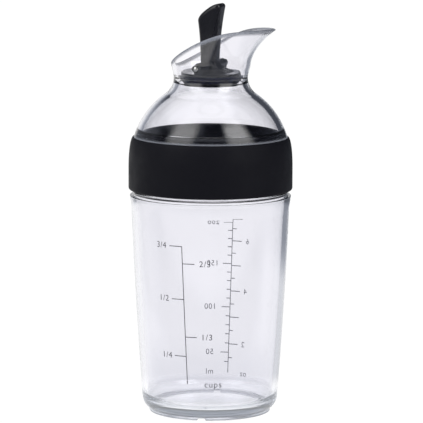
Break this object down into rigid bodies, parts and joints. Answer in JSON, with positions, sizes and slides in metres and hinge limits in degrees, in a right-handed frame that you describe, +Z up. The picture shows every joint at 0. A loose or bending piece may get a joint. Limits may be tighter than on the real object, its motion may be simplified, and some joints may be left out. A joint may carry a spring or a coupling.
{
  "type": "salad dressing shaker bottle",
  "caption": "Clear tapered cup with printed measuring scales, a screw lid with a soft black grip and clear domed pouring spout, and a thumb lever that swings a sealed stopper out of the spout.",
  "frame": {"origin": "middle of the standing ring, on the surface that the cup stands on", "axes": "+Z up along the cup's axis; +X the way the spout pours; the lever's pin runs along Y"},
  "size_m": [0.07, 0.07, 0.1752],
  "materials": {
    "clear_plastic": "clear copolyester, moulded glossy",
    "clear_lid_plastic": "clear copolyester, moulded glossy",
    "pale_silicone": "moulded silicone, satin",
    "gloss_black_plastic": "moulded polypropylene, glossy",
    "soft_black_grip": "moulded soft elastomer, matte",
    "dark_silicone": "moulded silicone, satin",
    "polished_steel": "turned stainless steel, polished"
  },
  "bodies": {
    "cup": {"container": "clear_plastic"},
    "gasket_ring": {"rim_gasket": "pale_silicone"},
    "lid": {"collar_core": "gloss_black_plastic", "collar_grip": "soft_black_grip", "dome_spout": "clear_lid_plastic", "pivot_pin": "polished_steel"},
    "stopper_lever": {"lever": "gloss_black_plastic", "stopper_seal": "dark_silicone"}
  },
  "joints": [
    {"name": "lid_lift", "type": "slide", "parent": "cup", "child": "gasket_ring", "axis": [0, 0, 1], "range_m": [0, 0.01501]},
    {"name": "lid_turn", "type": "hinge", "parent": "gasket_ring", "child": "lid", "pos_m": [0, 0, 0.1105], "axis": [0, 0, 1], "range_deg": [0, 1080]},
    {"name": "lever_tilt", "type": "hinge", "parent": "lid", "child": "stopper_lever", "pos_m": [0, 0, 0.14852], "axis": [0, -1, 0], "range_deg": [0, 69]}
  ],
  "couplings": [
    {"joint": "lid_lift", "follows": "lid_turn", "m_per_rad": 0.00079577}
  ]
}
